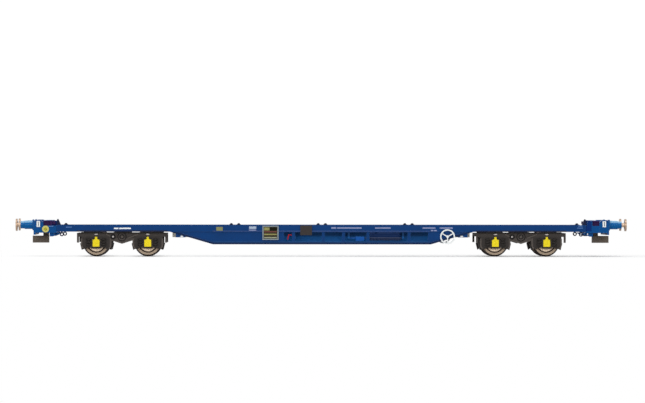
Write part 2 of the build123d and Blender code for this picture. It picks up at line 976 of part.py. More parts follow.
def build_spigots():
    """Square container spigots with tapered tops, raised along the -Y side of the deck."""
    places = [*spigot_places, girder_half_length - spigot_setback]
    with BuildPart() as spigots:
        for distance in places:
            with BuildSketch(Plane((distance, spigot_inset - frame_half_width, deck_z))):
                Rectangle(spigot_size, spigot_size)
            with BuildSketch(Plane((distance, spigot_inset - frame_half_width, deck_z + spigot_height))):
                Rectangle(spigot_top_size, spigot_top_size)
            loft()
        mirror(about=Plane.YZ)
    return spigots.part


def build_tie_rings():
    place = girder_half_length - ring_setback
    with BuildPart() as rings:
        with BuildSketch(side_plane(place, ring_inset - frame_half_width - ring_thickness / 2)):
            with Locations((0, channel_z - ring_drop)):
                RegularPolygon(ring_radius, ring_sides)
                RegularPolygon(ring_bore, ring_sides, mode=Mode.SUBTRACT)
            with Locations((0, channel_z - lug_depth / 2)):
                Rectangle(lug_width, lug_depth)
        extrude(amount=-ring_thickness)
        mirror(about=Plane.XZ)
        mirror(about=Plane.YZ)
    return rings.part


def build_handwheel():
    """Spoked handbrake wheel on a short spindle, on the -Y side."""
    z = deck_z - handwheel_drop
    face_y = -frame_half_width
    wheel_y = face_y - handwheel_standoff
    with BuildPart() as handwheel:
        with BuildSketch(side_plane(handwheel_x, wheel_y + handwheel_rim)):
            with Locations((0, z)):
                RegularPolygon(handwheel_radius + handwheel_rim, rim_sides)
                RegularPolygon(handwheel_radius - handwheel_rim, rim_sides, mode=Mode.SUBTRACT)
        extrude(amount=2 * handwheel_rim)
        with BuildSketch(side_plane(handwheel_x, face_y)):
            with Locations((0, z)):
                RegularPolygon(handwheel_hub, hub_sides)
        extrude(amount=handwheel_standoff + handwheel_rim)
        with BuildSketch(side_plane(handwheel_x, wheel_y)):
            with Locations((0, z)):
                with PolarLocations(handwheel_radius / 2, 3, start_angle=30):
                    Rectangle(handwheel_radius, spoke_width)
        extrude(amount=spoke_width / 2, both=True)
    return handwheel.part


def build_placard():
    with BuildPart() as placard:
        with BuildSketch(side_plane(placard_centre, -frame_half_width - ledge_proud)):
            with Locations((0, deck_z - placard_drop - placard_height / 2)):
                Rectangle(placard_width, placard_height)
        extrude(amount=placard_thickness)
    return placard.part


def build_indicator():
    """Round indicator on the side of the end frame."""
    disc_x = disc_setback - headstock_inner
    with BuildPart() as disc:
        with BuildSketch(side_plane(disc_x, -headstock_half_width)):
            with Locations((0, deck_z - disc_drop)):
                RegularPolygon(disc_radius, disc_facets)
        extrude(amount=disc_thickness)
    return disc.part


# Brake gear between the girders
def build_hung_cylinder(middle, side_y, length, radius):
    """A round vessel along the wagon, on two plates that reach out from the centre sill."""
    z = frame_top_z - sill_depth / 2 - radius
    plate_z = z + radius
    sign = 1 if side_y > 0 else -1
    with BuildPart() as vessel:
        end_plane = Plane(origin=(middle - length / 2, side_y, z), x_dir=(0, 1, 0), z_dir=(1, 0, 0))
        with BuildSketch(end_plane):
            Circle(radius)
        extrude(amount=length)
        for offset in (-strap_offset, strap_offset):
            strap_x = middle + offset * length / reservoir_length
            low_y, high_y = sorted((sign * sill_half_width, side_y + sign * radius))
            box_between(
                (strap_x - strap_width / 2, low_y, plate_z - strap_plate_depth / 2),
                (strap_x + strap_width / 2, high_y, plate_z + strap_plate_depth / 2),
            )
    return vessel.part


def build_brake_cylinder():
    vessel = build_hung_cylinder(cylinder_centre, cylinder_side, cylinder_length, cylinder_radius)
    z = frame_top_z - sill_depth / 2 - cylinder_radius
    with BuildPart() as cylinder:
        add(vessel)
        end_x = cylinder_centre + cylinder_length / 2
        half = piston_size / 2
        box_between(
            (end_x, cylinder_side - half, z - half),
            (end_x + piston_length, cylinder_side + half, z + half),
        )
    return cylinder.part


def build_valve():
    """Valve box on a bracket from the cross bearer beside it, behind the girder's windows."""
    bearer_x = bearer_places[3] + bearer_web / 2
    top = bearer_z + valve_lift
    inner_y = -behind_web + valve_width
    with BuildPart() as valve:
        box_between(
            (bearer_x + valve_gap, -behind_web, top - valve_height),
            (bearer_x + valve_gap + valve_length, inner_y, top),
        )
        chamfer(valve.edges().filter_by(Axis.Z), valve_height / 6)
        box_between(
            (bearer_x, -behind_web + valve_width / 4, bearer_z),
            (bearer_x + valve_gap + valve_length / 2, inner_y - valve_width / 4, bearer_z + bracket_depth),
        )
    return valve.part


def build_brake_pipes():
    """Pipes along both sides, from bearer to bearer."""
    first = bearer_places[3] + bearer_web / 2
    last = bearer_places[4] - bearer_web / 2
    with BuildPart() as pipes:
        for sign in (-1, 1):
            start = first if sign < 0 else -last
            with BuildSketch(
                Plane(
                    origin=(start, sign * pipe_side, bearer_z + pipe_radius),
                    x_dir=(0, 1, 0),
                    z_dir=(1, 0, 0),
                )
            ):
                RegularPolygon(pipe_radius, pipe_sides)
            extrude(amount=last - first)
    return pipes.part


def build_pull_rods():
    """Flat bars under the centre sill from its keel out to the bogies, with a block at each end."""
    rod_y = sill_half_width - rod_block_width / 2
    reach = belly_top_half - pull_rod_setback
    low = sill_bottom_z - pull_rod_depth
    with BuildPart() as rods:
        box_between(
            (keel_end, rod_y - pull_rod_width / 2, low),
            (reach, rod_y + pull_rod_width / 2, sill_bottom_z),
        )
        box_between(
            (reach - rod_block_length, rod_y - rod_block_width / 2, low),
            (reach, rod_y + rod_block_width / 2, sill_bottom_z + rod_block_rise),
        )
        mirror(about=Plane.XZ)
        mirror(about=Plane.YZ)
    return rods.part


def build_release_lever():
    """Small bent lever behind the first window, on the cross bearer beside it."""
    root = bearer_places[2] - bearer_web / 2
    top = channel_z - lever_drop / 2
    with BuildPart() as lever:
        with BuildSketch(side_plane(0, lever_size - behind_web)):
            with BuildLine():
                Polyline(
                    (root, top),
                    (root - lever_length, top),
                    (root - lever_length - lever_size, top - lever_drop),
                    (root - lever_length, top - lever_drop),
                    (root - lever_length + lever_size, top - lever_size),
                    (root, top - lever_size),
                    close=True,
                )
            make_face()
        extrude(amount=lever_size)
    return lever.part


# Bogies and wheelsets, one set at each end
for end_name, bogie_x in (("a", -pivot_x), ("b", pivot_x)):
    near_side = build_bogie_side(bogie_x)
    save(near_side, f"bogie_{end_name}_side_right")
    save(half_turn(near_side, bogie_x), f"bogie_{end_name}_side_left")
    save(build_bogie_bolster(bogie_x), f"bogie_{end_name}_bolster")
    save(build_transoms(bogie_x), f"bogie_{end_name}_transoms")
    save(build_covers(bogie_x), f"bogie_{end_name}_axlebox_covers")
    save(build_brake_blocks(bogie_x), f"bogie_{end_name}_brake_blocks")
    for number, axle_x in ((1, bogie_x - axle_offset), (2, bogie_x + axle_offset)):
        save(build_axle(axle_x), f"axle_{end_name}{number}")
        save(build_wheels(axle_x), f"wheels_{end_name}{number}")
    save(build_bolster(bogie_x), f"bolster_{end_name}")

# Underframe
right_girder = build_girder()
save(right_girder, "girder_right")
save(half_turn(right_girder), "girder_left")
save(build_centre_sill(), "centre_sill")
save(build_end_sills(), "end_sills")
save(build_cross_bearers(), "cross_bearers")
save(build_braces(), "floor_braces")
save(build_pivot_screws(), "pivot_screws")

# Ends
for build, node in (
    (build_headstock, "headstock"),
    (build_buffer_housings, "buffer_housings"),
    (build_buffer_heads, "buffer_heads"),
    (build_draw_hook, "draw_hook"),
    (build_end_frame, "end_frame"),
    (build_coupling_pocket, "coupling_pocket"),
):
    end_piece = build()
    save(end_piece, f"{node}_a")
    save(half_turn(end_piece), f"{node}_b")

# Fittings and brake gear
save(build_container_guides(), "container_guides")
save(build_spigots(), "container_spigots")
save(build_tie_rings(), "tie_rings")
near_handwheel = build_handwheel()
save(near_handwheel, "handwheel_right")
save(near_handwheel.mirror(Plane.XZ), "handwheel_left")
for build, node in (
    (build_placard, "placard"),
    (build_indicator, "indicator"),
    (build_release_lever, "release_lever"),
    (build_valve, "brake_valve"),
):
    side_piece = build()
    save(side_piece, f"{node}_right")
    save(half_turn(side_piece), f"{node}_left")
save(
    build_hung_cylinder(reservoir_centre, -reservoir_side, reservoir_length, reservoir_radius),
    "air_reservoir",
)
save(build_brake_cylinder(), "brake_cylinder")
save(build_brake_pipes(), "brake_pipes")
save(build_pull_rods(), "pull_rods")
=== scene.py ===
# %% [markdown]
# # Dressing a model container wagon
# The CAD model brings every solid of the wagon: girders, ends, bogies, wheelsets and brake gear.
# Blender's work is the look: paint, plastic and turned metal, the painted marks on the sides, and the
# small bolt heads and tread bars that give a model its sense of size. Loading comes first. Nothing
# added later may outgrow it.

import math

import bmesh
import bpy
from mathutils import Matrix, Vector


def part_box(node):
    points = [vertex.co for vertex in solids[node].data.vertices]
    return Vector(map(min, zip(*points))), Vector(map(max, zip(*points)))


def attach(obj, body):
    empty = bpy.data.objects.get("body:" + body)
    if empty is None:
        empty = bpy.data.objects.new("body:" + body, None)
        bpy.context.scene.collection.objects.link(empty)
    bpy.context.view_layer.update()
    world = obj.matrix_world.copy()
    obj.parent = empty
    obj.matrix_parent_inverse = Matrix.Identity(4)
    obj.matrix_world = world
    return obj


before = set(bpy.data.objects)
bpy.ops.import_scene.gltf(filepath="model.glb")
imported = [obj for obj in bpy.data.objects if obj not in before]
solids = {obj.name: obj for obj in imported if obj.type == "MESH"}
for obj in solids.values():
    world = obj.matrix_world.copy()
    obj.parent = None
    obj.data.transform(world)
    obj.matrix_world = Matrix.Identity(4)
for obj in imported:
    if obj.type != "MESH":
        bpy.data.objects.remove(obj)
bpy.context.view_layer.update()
mm = 0.001
print("solids loaded:", len(solids))

# %% [markdown]
# ## Colours as a painter writes them
# Paint is picked from screen values between 0 and 255, and the renderer works in linear light. One small
# helper does the change, so every colour below can be written as a painter reads it. A second makes a
# colour darker or lighter, for the clouds and the grain of a surface.


# %% Colour helpers
def paint_value(red, green, blue):
    linear = []
    for value in (red, green, blue):
        share = value / 255
        linear.append(share / 12.92 if share <= 0.04045 else ((share + 0.055) / 1.055) ** 2.4)
    return (*linear, 1.0)


def toned(colour, level):
    return (*(min(1.0, value * level) for value in colour[:3]), 1.0)


print("middle grey in linear light:", round(paint_value(128, 128, 128)[0], 4))

# %% [markdown]
# ## Nodes in few words
# A material is a net of nodes, and most of its lines only make a node, set it and link it. In the editor
# that is dragging and typing. In a script a few helpers do the same, so that each finish below reads as
# what it is. Every finish starts from the same shader and from Object coordinates, which stay with the
# piece and keep a pattern at its true scale.


# %% Helpers for nodes
def join(tree, *chain):
    for (giver, out), (taker, into) in zip(chain[::2], chain[1::2]):
        tree.links.new(giver.outputs[out], taker.inputs[into])


def add_node(tree, kind, **settings):
    node = tree.nodes.new(kind)
    for name, value in settings.items():
        if name in node.inputs:
            node.inputs[name].default_value = value
        else:
            setattr(node, name, value)
    return node


def map_range(tree, start, end, low=0.0, high=1.0, **settings):
    """A Map Range that gives low at start and high at end."""
    node = add_node(tree, "ShaderNodeMapRange", **settings)
    for socket, value in (("From Min", start), ("From Max", end), ("To Min", low), ("To Max", high)):
        node.inputs[socket].default_value = value
    return node


def start_finish(name, roughness, metallic=0.0, gloss=0.16):
    finish = bpy.data.materials.new(name)
    finish.use_nodes = True
    shader = finish.node_tree.nodes["Principled BSDF"]
    shader.inputs["Roughness"].default_value = roughness
    shader.inputs["Metallic"].default_value = metallic
    shader.inputs["Specular IOR Level"].default_value = gloss
    place = finish.node_tree.nodes.new("ShaderNodeTexCoord")
    return finish, finish.node_tree, shader, place


print("node helpers ready")

# %% [markdown]
# ## Layers of a finish
# A finish is built as a painter builds it: a ground in two tones, then thin coats of one colour, each
# with a mask that says where it lies. In nodes, a coat is a Mix and a mask is a Map Range. The Bevel node
# feels for edges by looking at the neighbouring faces. That gives both a softened normal and a mask for
# pale edges, which stand for wear and are also a painted highlight, and the CAD mesh itself stays
# untouched.


# %% Helpers for coats
def two_tones(tree, pattern, dark, light):
    tone = add_node(tree, "ShaderNodeMix", data_type="RGBA")
    tone.inputs["A"].default_value = dark
    tone.inputs["B"].default_value = light
    join(tree, (pattern, "Fac"), (tone, "Factor"))
    return tone


def coated(tree, under, mask, colour):
    coat = add_node(tree, "ShaderNodeMix", data_type="RGBA")
    coat.inputs["B"].default_value = colour
    join(tree, (mask, "Result"), (coat, "Factor"), (under, "Result"), (coat, "A"))
    return coat


def multiplied(tree, first, second):
    product = add_node(tree, "ShaderNodeMix", data_type="RGBA", blend_type="MULTIPLY")
    product.inputs["Factor"].default_value = 1.0
    join(tree, first, (product, "A"), second, (product, "B"))
    return product


def worn_and_lit_edges(tree, width, start, end, amount):
    """The softened normal, the face's own normal, and a mask that grows as the two part."""
    rounded = add_node(tree, "ShaderNodeBevel", samples=4, Radius=width * mm)
    facing = add_node(tree, "ShaderNodeNewGeometry")
    bend = add_node(tree, "ShaderNodeVectorMath", operation="DOT_PRODUCT")
    join(tree, (rounded, "Normal"), (bend, 0), (facing, "Normal"), (bend, 1))
    rim = map_range(tree, start, end, 0.0, amount)
    join(tree, (bend, "Value"), (rim, "Value"))
    return rounded, facing, rim


def facing_up(tree, facing, mask):
    upward = add_node(tree, "ShaderNodeSeparateXYZ")
    join(tree, (facing, "Normal"), (upward, "Vector"), (upward, "Z"), (mask, "Value"))
    return mask


def add_skin(tree, shader, rounded, pattern, strength, depth):
    """Fine relief from a pattern, over the softened normal; depth is in millimetres."""
    skin = add_node(tree, "ShaderNodeBump", Strength=strength, Distance=depth * mm)
    join(tree, (pattern, "Fac"), (skin, "Height"), (rounded, "Normal"), (skin, "Normal"))
    join(tree, (skin, "Normal"), (shader, "Normal"))


print("coat helpers ready")

# %% [markdown]
# ## Sprayed paint
# The frame of the real model is sprayed in satin blue over a cast underframe. Spray paint is never one
# flat value: it clouds a little over centimetres, has a fine orange-peel skin, and turns paler along
# sharp edges where it is thin; here the pale edges are also a painted highlight. A picture texture could
# hold all that, but noise on Object coordinates needs no picture and keeps its true scale. Painted shade
# is the last layer. Under the deck it follows the height alone: the upper parts of the sill get a painted
# shade that no lamp of a small studio would give them. The round buffer housings get a painted highlight
# on top instead, so there the finish reads how far the surface looks up.

# %% A sprayed finish
# Pale edges stand for thin paint and are also a painted highlight; the navy is painted shade, the pale blue a
# painted highlight.
worn_and_lit_edge_share = 0.35
sill_shade_navy = paint_value(14, 20, 38)
highlight_blue = paint_value(170, 216, 240)


def sprayed(name, colour, cloud=0.12, edge=0.3, roughness=0.42, gloss=0.06, painted_shade=None, sky=0.0):
    """Painted shade is the height where it is full, the height where it ends, and its share."""
    finish, tree, shader, place = start_finish(name, roughness, gloss=gloss)
    base = paint_value(*colour)
    pale = (*(value + (1 - value) * worn_and_lit_edge_share for value in base[:3]), 1.0)
    clouds = add_node(tree, "ShaderNodeTexNoise", Scale=120.0, Detail=3.0, Roughness=0.6)
    join(tree, (place, "Object"), (clouds, "Vector"))
    coat = two_tones(tree, clouds, toned(base, 1 - 2 * cloud), toned(base, 1 + cloud))
    # Paler edges: thin, worn paint and a painted highlight where edges catch the light.
    rounded, facing, rim = worn_and_lit_edges(tree, 0.12, 0.98, 0.75, edge)
    coat = coated(tree, coat, rim, pale)
    # Painted shade, full above one height and gone below a lower one.
    if painted_shade:
        full, clear, share = painted_shade
        height = add_node(tree, "ShaderNodeSeparateXYZ")
        shade_share = map_range(tree, full * mm, clear * mm, share, 0.0)
        join(tree, (place, "Object"), (height, "Vector"), (height, "Z"), (shade_share, "Value"))
        coat = coated(tree, coat, shade_share, sill_shade_navy)
    # A painted highlight on faces that look up.
    if sky:
        top_highlight = facing_up(tree, facing, map_range(tree, 0.4, 0.7, 0.0, sky, interpolation_type="SMOOTHSTEP"))
        coat = coated(tree, coat, top_highlight, highlight_blue)
    join(tree, (coat, "Result"), (shader, "Base Color"))
    peel = add_node(tree, "ShaderNodeTexNoise", Scale=6000.0, Detail=2.0)
    join(tree, (place, "Object"), (peel, "Vector"))
    add_skin(tree, shader, rounded, peel, 0.12, 0.02)
    sheen = map_range(tree, 0.0, 1.0, roughness - 0.08, roughness + 0.1)
    join(tree, (clouds, "Fac"), (sheen, "Value"), (sheen, "Result"), (shader, "Roughness"))
    return finish


print("edges of thin paint are paler by", worn_and_lit_edge_share)

# %% [markdown]
# ## The paints of the wagon
# One blue would look dull: the real model shows a deep one on the girder and a brighter one on the ends
# and buffers, and darker and paler ones stand for painted shade and painted highlights. Each gets its own
# finish, so one can be changed without the rest. Flat marks have no pale edges, worn or highlighted,
# because a thin coat has none, and they share their settings.

# %% Mix the paints
flat_mark = {"edge": 0.0, "roughness": 0.55}
flat_field = {"edge": 0.0, "roughness": 0.6}
girder_blue = sprayed("girder_blue", (8, 59, 117))
end_blue = sprayed("end_blue", (2, 76, 140))
floor_blue = sprayed("floor_blue", (20, 64, 124))
# The sill's upper parts are darkened with painted shade.
sill_blue = sprayed("sill_blue", (20, 84, 146), painted_shade=(9.7, 8.9, 0.6))
# The buffer housings get a painted highlight on top.
buffer_blue = sprayed("buffer_blue", (2, 94, 160), edge=0.2, roughness=0.2, gloss=0.1, sky=0.55)
brake_blue = sprayed("brake_blue", (24, 92, 176))
vessel_blue = sprayed("vessel_blue", (26, 52, 100))
# Painted light: the foot and locker navies are painted shade, the flange, edge and ledge blues painted
# highlights.
foot_shade_navy = sprayed("foot_shade_navy", (14, 38, 78), edge=0.0)
flange_highlight_blue = sprayed("flange_highlight_blue", (40, 80, 132), edge=0.0)
edge_highlight_pale = sprayed("edge_highlight_pale", (100, 140, 200), edge=0.0)
ledge_highlight_blue = sprayed("ledge_highlight_blue", (58, 82, 136), edge=0.0)
locker_shade_navy = sprayed("locker_shade_navy", (22, 54, 120), edge=0.0, roughness=0.8, gloss=0.0)
# The real navy of the guides, also used as painted shade at the channel's foot.
guide_and_shade_navy = sprayed("guide_and_shade_navy", (26, 34, 62), cloud=0.1, roughness=0.5)
pipe_grey = sprayed("pipe_grey", (74, 84, 112), edge=0.1)
rod_grey = sprayed("rod_grey", (206, 202, 190), cloud=0.06, roughness=0.45)
lug_pale = sprayed("lug_pale", (214, 206, 200), cloud=0.08, roughness=0.5)
cover_yellow = sprayed("cover_yellow", (250, 226, 40), cloud=0.06, roughness=0.5)
indicator_yellow = sprayed("indicator_yellow", (208, 200, 116), cloud=0.08, roughness=0.5)
lever_red = sprayed("lever_red", (172, 34, 50), roughness=0.45)
board_black = sprayed("board_black", (62, 57, 56), cloud=0.1, roughness=0.6)
# Purple painted shade inside the end bays.
bay_shade_purple = sprayed("bay_shade_purple", (62, 36, 84), cloud=0.2, **flat_field)
field_dark = sprayed("field_dark", (58, 54, 42), cloud=0.2, **flat_field)
field_black = sprayed("field_black", (32, 32, 22), cloud=0.2, edge=0.0, roughness=0.7, gloss=0.02)
field_olive = sprayed("field_olive", (150, 148, 92), cloud=0.2, **flat_field)
field_red = sprayed("field_red", (128, 74, 70), cloud=0.1, **flat_field)
field_cream = sprayed("field_cream", (164, 168, 140), cloud=0.15, **flat_field)
mark_white = sprayed("mark_white", (240, 244, 244), cloud=0.04, **flat_mark)
mark_soft = sprayed("mark_soft", (172, 188, 208), cloud=0.06, **flat_mark)
mark_grey = sprayed("mark_grey", (142, 150, 186), cloud=0.06, **flat_mark)
border_grey = sprayed("border_grey", (138, 150, 156), cloud=0.05, **flat_mark)
centre_olive = sprayed("centre_olive", (176, 168, 58), cloud=0.08, **flat_mark)
panel_yellow = sprayed("panel_yellow", (140, 140, 96), cloud=0.08, **flat_mark)
print("sprayed finishes:", sum(finish.users == 0 for finish in bpy.data.materials))

# %% [markdown]
# ## Painted shade round the springs
# On the bogie sides a painted shade darkens the wells around the springs and the top of the beam under
# the girder, and a painted highlight lightens a band across the beam. It could be painted by hand on each
# side, but its strength only follows two things: the distance from the nearest axle and, above the wells,
# the height. So two ramps hold it. Folding a coordinate finds the nearest axle: shift it, drop its sign,
# and shift again.

# %% Helpers for the wash
pivot_place = 91.4
axle_offset = 11.8
# Tone by distance from the axle: painted shade in the wells round the springs.
well_shade_stops = [(0, 0.26), (1.9, 0.26), (2.1, 0.5), (2.5, 0.5), (2.7, 0.22), (4.6, 0.22)]
well_shade_stops += [(4.9, 0.36), (6.0, 0.4), (6.3, 0.8)]
# Tone by height: a painted highlight band across the beam and painted shade on its top.
beam_light_stops = [(0, 0.45), (9.1, 0.45), (9.4, 0.58), (10.4, 0.55), (10.6, 0.22)]
wells_reach, beam_reach = 8.0, 12.0
wells_top, beam_foot = 8.2, 8.8


def ramp_over(tree, giver, reach, stops):
    """A colour ramp over a length in millimetres; stops are pairs of a place and a colour."""
    share = map_range(tree, 0.0, reach * mm)
    ramp = add_node(tree, "ShaderNodeValToRGB")
    marks = ramp.color_ramp.elements
    marks.remove(marks[1])
    marks[0].position, marks[0].color = 0.0, stops[0][1]
    for spot, colour in stops[1:]:
        marks.new(spot / reach).color = colour
    tree.links.new(giver, share.inputs["Value"])
    join(tree, (share, "Result"), (ramp, "Fac"))
    return ramp


def folded(tree, giver, shifts):
    for shift in shifts:
        less = add_node(tree, "ShaderNodeMath", operation="SUBTRACT")
        less.inputs[1].default_value = shift * mm
        size = add_node(tree, "ShaderNodeMath", operation="ABSOLUTE")
        tree.links.new(giver, less.inputs[0])
        join(tree, (less, 0), (size, 0))
        giver = size.outputs[0]
    return giver


def painted_light_level(tree, place, pivot):
    """How much of its tone a bogie side keeps under the painted shade and highlight."""
    spread = add_node(tree, "ShaderNodeSeparateXYZ")
    join(tree, (place, "Object"), (spread, "Vector"))
    from_axle = folded(tree, spread.outputs["X"], (pivot, axle_offset))
    grey_wells, grey_beam = [
        [(spot, (level, level, level, 1)) for spot, level in stops] for stops in (well_shade_stops, beam_light_stops)
    ]
    wells = ramp_over(tree, from_axle, wells_reach, grey_wells)
    beam = ramp_over(tree, spread.outputs["Z"], beam_reach, grey_beam)
    above = map_range(tree, wells_top * mm, beam_foot * mm)
    level = add_node(tree, "ShaderNodeMix", data_type="RGBA")
    join(tree, (spread, "Z"), (above, "Value"), (above, "Result"), (level, "Factor"))
    join(tree, (wells, "Color"), (level, "A"), (beam, "Color"), (level, "B"))
    return level


print("wash stops:", len(well_shade_stops) + len(beam_light_stops))

# %% [markdown]
# ## Moulded plastic
# The bogies and small black fittings are moulded, not sprayed. Moulded plastic has a grain from the tool,
# no cloudy spray, and handling dust that settles on whatever faces up. The dust follows the surface's own
# direction, so it stays where it is when the camera moves. Handling also rubs the edges paler, and the
# pale edges are a painted highlight too, which is what lets the eye read black castings on black.

# %% A moulded finish
# The rubbed grey of the edges is wear and also a painted highlight.
dust_grey = paint_value(150, 142, 134)
rubbed_and_lit_grey = paint_value(128, 120, 112)


def moulded(name, colour, dust=0.25, wear_and_highlight=0.55, pivot=None):
    finish, tree, shader, place = start_finish(name, 0.62)
    base = paint_value(*colour)
    grain = add_node(tree, "ShaderNodeTexNoise", Scale=900.0, Detail=5.0, Roughness=0.65)
    join(tree, (place, "Object"), (grain, "Vector"))
    coat = two_tones(tree, grain, toned(base, 0.72), toned(base, 1.3))
    # On a bogie side the tone is multiplied by painted shade and a painted highlight.
    if pivot is not None:
        coat = multiplied(tree, (coat, "Result"), (painted_light_level(tree, place, pivot), "Result"))
    # Pale edges: rubbed, and a painted highlight.
    rounded, facing, rim = worn_and_lit_edges(tree, 0.16, 0.99, 0.78, wear_and_highlight)
    coat = coated(tree, coat, facing_up(tree, facing, map_range(tree, 0.0, 1.0, 0.0, dust)), dust_grey)
    coat = coated(tree, coat, rim, rubbed_and_lit_grey)
    join(tree, (coat, "Result"), (shader, "Base Color"))
    add_skin(tree, shader, rounded, grain, 0.25, 0.03)
    return finish


bogie_black = moulded("bogie_black", (56, 51, 49))
side_black = {}
for bogie, pivot in (("bogie_a", -pivot_place), ("bogie_b", pivot_place)):
    side_black[bogie] = moulded(f"side_black_{bogie[-1]}", (86, 79, 75), dust=0.1, wear_and_highlight=0.4, pivot=pivot)
rib_grey = moulded("rib_grey", (88, 81, 76), dust=0.15)
well_shade_dark = moulded("well_shade_dark", (26, 23, 25), dust=0.05, wear_and_highlight=0.1)
fitting_black = moulded("fitting_black", (36, 34, 38), dust=0.1)
coupling_grey = moulded("coupling_grey", (102, 92, 82))
print("moulded finishes:", len(side_black) + 5)

# %% [markdown]
# ## Turned metal
# Wheels and buffer heads come off a lathe and are darkened with a chemical bath. The tool leaves fine
# rings round the axis and the bath leaves a brown cast. The rings are a Wave texture set to rings, with a
# Mapping node that moves its centre to the axle, so each wheelset gets its own finish. The distance from
# that axis also picks the band: pale disc, dark groove, bright tyre, dark flange. The dark groove and the
# dark flange are painted shade, and the pale bands of the buffers are a painted highlight and a painted
# reflection. The buffers lie in pairs along X, so their coordinates lose the sign first and one axis
# serves both sides.

# %% A turned finish
band_reach = 8.0
band_blur = 0.096


def turned(name, bands, centre, axis, roughness=0.42):
    """Bands are pairs of a radius in millimetres and the colour from there out to the next."""
    finish, tree, shader, place = start_finish(name, roughness, metallic=0.45, gloss=0.3)
    start = place.outputs["Object"]
    if axis == "X":
        both_sides = add_node(tree, "ShaderNodeVectorMath", operation="ABSOLUTE")
        tree.links.new(start, both_sides.inputs[0])
        start = both_sides.outputs["Vector"]
    shift = add_node(tree, "ShaderNodeMapping", Location=tuple(-value for value in centre))
    tree.links.new(start, shift.inputs["Vector"])
    rings = add_node(tree, "ShaderNodeTexWave", wave_type="RINGS", rings_direction=axis)
    for socket, value in (("Scale", 900.0), ("Distortion", 0.6), ("Detail", 2.0)):
        rings.inputs[socket].default_value = value
    across = add_node(tree, "ShaderNodeVectorMath", operation="MULTIPLY")
    across.inputs[1].default_value = tuple(0.0 if letter == axis else 1.0 for letter in "XYZ")
    radius_out = add_node(tree, "ShaderNodeVectorMath", operation="LENGTH")
    join(tree, (shift, "Vector"), (rings, "Vector"), (shift, "Vector"), (across, 0))
    join(tree, (across, "Vector"), (radius_out, 0))
    stops = [(0.0, paint_value(*bands[0][1]))]
    for (_, before), (radius, colour) in zip(bands, bands[1:]):
        stops.append((radius - band_blur, paint_value(*before)))
        stops.append((radius + band_blur, paint_value(*colour)))
    ramp = ramp_over(tree, radius_out.outputs["Value"], band_reach, stops)
    level = map_range(tree, 0.0, 1.0, 0.82, 1.12)
    join(tree, (rings, "Fac"), (level, "Value"))
    tone = multiplied(tree, (ramp, "Color"), (level, "Result"))
    join(tree, (tone, "Result"), (shader, "Base Color"))
    rounded = add_node(tree, "ShaderNodeBevel", samples=4, Radius=0.08 * mm)
    add_skin(tree, shader, rounded, rings, 0.15, 0.01)
    return finish


def middle_of(node):
    low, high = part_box(node)
    return (low + high) / 2


buffer_side, buffer_height = 11.33, 14.5
# The pale buffer bands are a painted highlight on the head and a painted reflection on the ram.
buffer_bands_and_highlights = [(0, (206, 180, 156)), (1.2, (168, 130, 102)), (1.9, (188, 160, 136))]
buffer_axis = (0, buffer_side * mm, buffer_height * mm)
buffer_metal = turned("buffer_metal", buffer_bands_and_highlights, buffer_axis, "X", roughness=0.3)
screw_metal = turned("screw_metal", [(0, (150, 150, 152))], (0, 0, 0), "Z")
# The dark groove and dark flange bands are painted shade.
wheel_bands_and_shade = [(0, (224, 203, 178)), (3.9, (62, 47, 40)), (4.6, (150, 133, 114)), (5.6, (54, 41, 38))]
wheel_metal = {}
for wheelset in ("a1", "a2", "b1", "b2"):
    wheel_metal[wheelset] = turned(f"wheel_metal_{wheelset}", wheel_bands_and_shade, middle_of(f"axle_{wheelset}"), "Y")
print("turned finishes:", len(wheel_metal) + 2)

# %% [markdown]
# ## Painting the solids
# A CAD solid keeps its shape and takes a finish in its material slot. The names say what each piece is,
# so a list of name starts is enough to paint the whole wagon.

# %% Give every solid its finish
finish_by_start = {
    "girder": girder_blue,
    "headstock": end_blue,
    "end_frame": end_blue,
    "buffer_housings": buffer_blue,
    "buffer_heads": buffer_metal,
    "bogie": bogie_black,
    "axle": screw_metal,
    "pivot_screws": screw_metal,
    "coupling_pocket": coupling_grey,
    "container": guide_and_shade_navy,
    "tie_rings": guide_and_shade_navy,
    "draw_hook": fitting_black,
    "handwheel": mark_white,
    "placard": board_black,
    "indicator": indicator_yellow,
    "release_lever": lever_red,
    "brake_valve": brake_blue,
    "air_reservoir": vessel_blue,
    "brake_cylinder": vessel_blue,
    "brake_pipes": pipe_grey,
    "pull_rods": rod_grey,
    "centre_sill": sill_blue,
    "cross_bearers": sill_blue,
}


def finish_for(node):
    if node.startswith("wheels_"):
        return wheel_metal[node[-2:]]
    if "_side_" in node:
        return side_black[node[:7]]
    if node.endswith("axlebox_covers"):
        return cover_yellow
    for start, finish in finish_by_start.items():
        if node.startswith(start):
            return finish
    return floor_blue


for node, solid in solids.items():
    solid.data.materials.clear()
    solid.data.materials.append(finish_for(node))
print("solids painted:", len(solids))

# %% [markdown]
# ## Small pieces in one way
# Bolt heads, marks and tread bars are many and small, so each kind is one mesh of repeated shapes. Three
# helpers make the shapes: a slab with its edges broken, a bolt head as a short cone that tapers to its
# top, and a plate, which is one flat face in any outline, pulled back by an extrude. An oval is a bolt
# head that is stretched, because a circle scaled in one direction is the simplest ellipse there is.


# %% Helpers for shapes
def slab(shape, low, high, edge=0.04):
    corners = bmesh.ops.create_cube(shape, size=1.0)["verts"]
    size = [(b - a) * mm for a, b in zip(low, high)]
    middle = [(a + b) / 2 * mm for a, b in zip(low, high)]
    bmesh.ops.scale(shape, vec=size, verts=corners)
    bmesh.ops.translate(shape, vec=middle, verts=corners)
    bmesh.ops.bevel(
        shape,
        geom=list({e for v in corners for e in v.link_edges}),
        offset=edge * mm,
        segments=1,
        profile=0.5,
        affect="EDGES",
        material=-1,
        clamp_overlap=True,
    )


turn_to = {
    "-Y": Matrix.Rotation(math.pi / 2, 4, "X"),
    "-X": Matrix.Rotation(-math.pi / 2, 4, "Y"),
}


